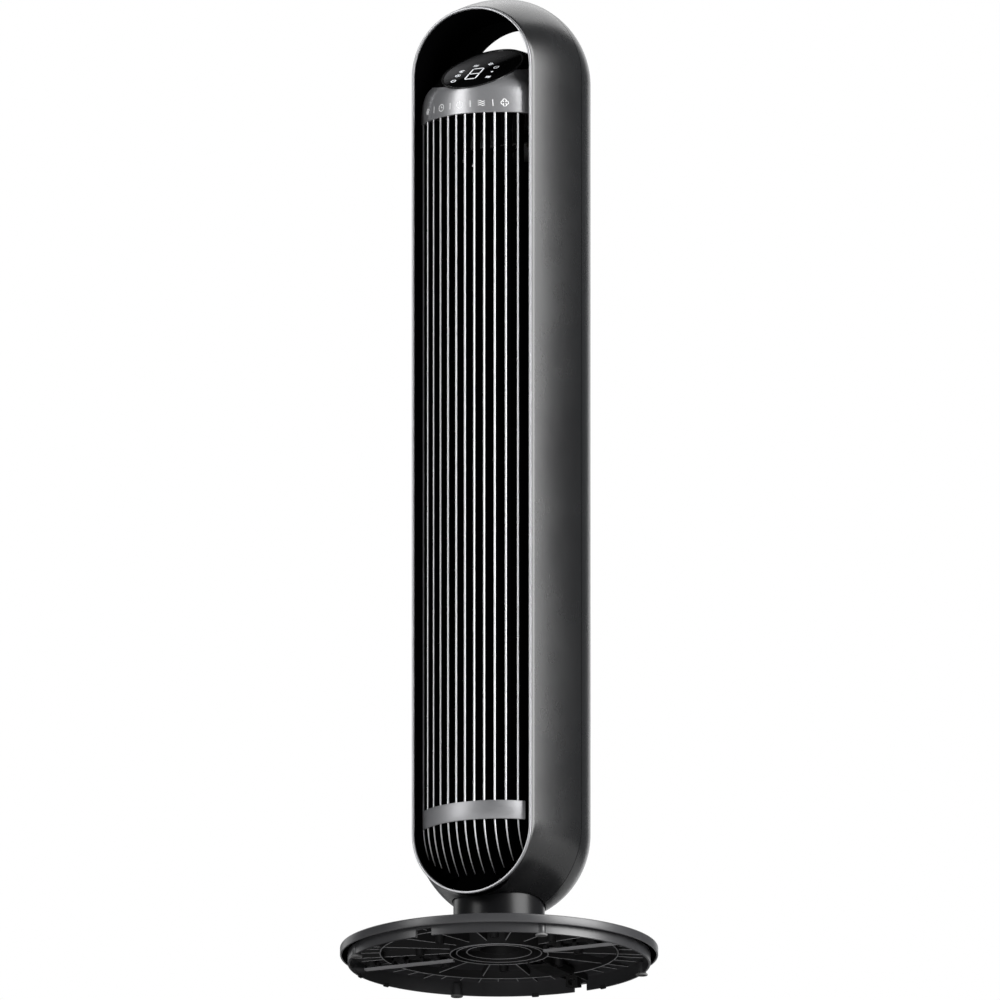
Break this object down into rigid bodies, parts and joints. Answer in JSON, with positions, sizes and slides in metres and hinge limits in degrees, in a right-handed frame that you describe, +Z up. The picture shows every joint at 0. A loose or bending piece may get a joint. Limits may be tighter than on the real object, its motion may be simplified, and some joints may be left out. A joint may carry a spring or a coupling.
{
  "type": "tower fan",
  "caption": "Tower fan with a handle tunnel through its rounded top, a bulging grille of upright fins, a slanted display pod and a round ribbed base that the tower swings on.",
  "frame": {"origin": "on the floor under the middle of the base, on the swing axis", "axes": "+Z up along the tower, -Y the front, where the air leaves"},
  "size_m": [0.2976, 0.2976, 0.9265],
  "materials": {
    "shell": "satin graphite pearl lacquer on moulded plastic",
    "black_plastic": "fine matt black moulding",
    "base_plastic": "satin black moulding",
    "silver_trim": "satin silver plating",
    "pod_metal": "satin gunmetal lacquer",
    "display_gloss": "smoked gloss window",
    "rubber": "matt",
    "steel": "plated",
    "brass": "sintered bronze",
    "white_plastic": "natural acetal",
    "board": "solder-masked laminate"
  },
  "bodies": {
    "base": {"base_front_half": "base_plastic", "base_rear_half": "base_plastic", "foot_front_left": "rubber", "foot_front_right": "rubber", "foot_rear_left": "rubber", "foot_rear_right": "rubber", "neck_column": "base_plastic", "neck_screw_1": "steel", "neck_screw_2": "steel", "neck_screw_3": "steel", "neck_screw_4": "steel", "fixed_swing_gear": "white_plastic", "swivel_bearing_ring": "white_plastic", "cord_gland": "rubber"},
    "tower": {"front_shell": "shell", "rear_shell": "shell", "front_ring": "silver_trim", "outlet_frame": "black_plastic", "handle_liner": "black_plastic", "rear_intake_grille": "black_plastic", "front_grille": "silver_trim", "trim_band": "silver_trim", "pod_housing": "pod_metal", "display_bezel": "black_plastic", "display_lens": "display_gloss", "display_board": "board", "touch_board": "board", "power_board": "board", "turntable": "white_plastic", "swing_motor": "steel", "fan_motor": "steel", "motor_mount": "black_plastic", "upper_bearing_holder": "black_plastic", "upper_bearing_bush": "brass", "duct_scroll": "black_plastic", "duct_tongue": "black_plastic", "shell_screw_1": "steel", "shell_screw_2": "steel", "shell_screw_3": "steel", "shell_screw_4": "steel", "shell_screw_5": "steel", "shell_screw_6": "steel"},
    "impeller": {"fan_wheel": "black_plastic", "wheel_hub": "rubber", "drive_shaft": "steel", "top_pivot": "steel"},
    "pinion": {"swing_pinion": "white_plastic"}
  },
  "joints": [
    {"name": "tower_swivel", "type": "hinge", "parent": "base", "child": "tower", "pos_m": [0, 0, 0.083], "axis": [0, 0, 1], "range_deg": [-45, 45]},
    {"name": "impeller_spin", "type": "hinge", "parent": "tower", "child": "impeller", "pos_m": [0, 0.014, 0.45], "axis": [0, 0, 1], "continuous": true},
    {"name": "pinion_spin", "type": "hinge", "parent": "tower", "child": "pinion", "pos_m": [0, 0.033, 0.09], "axis": [0, 0, 1], "range_deg": [-125, 125]}
  ],
  "couplings": [
    {"joint": "pinion_spin", "follows": "tower_swivel", "ratio": 2.6667}
  ]
}
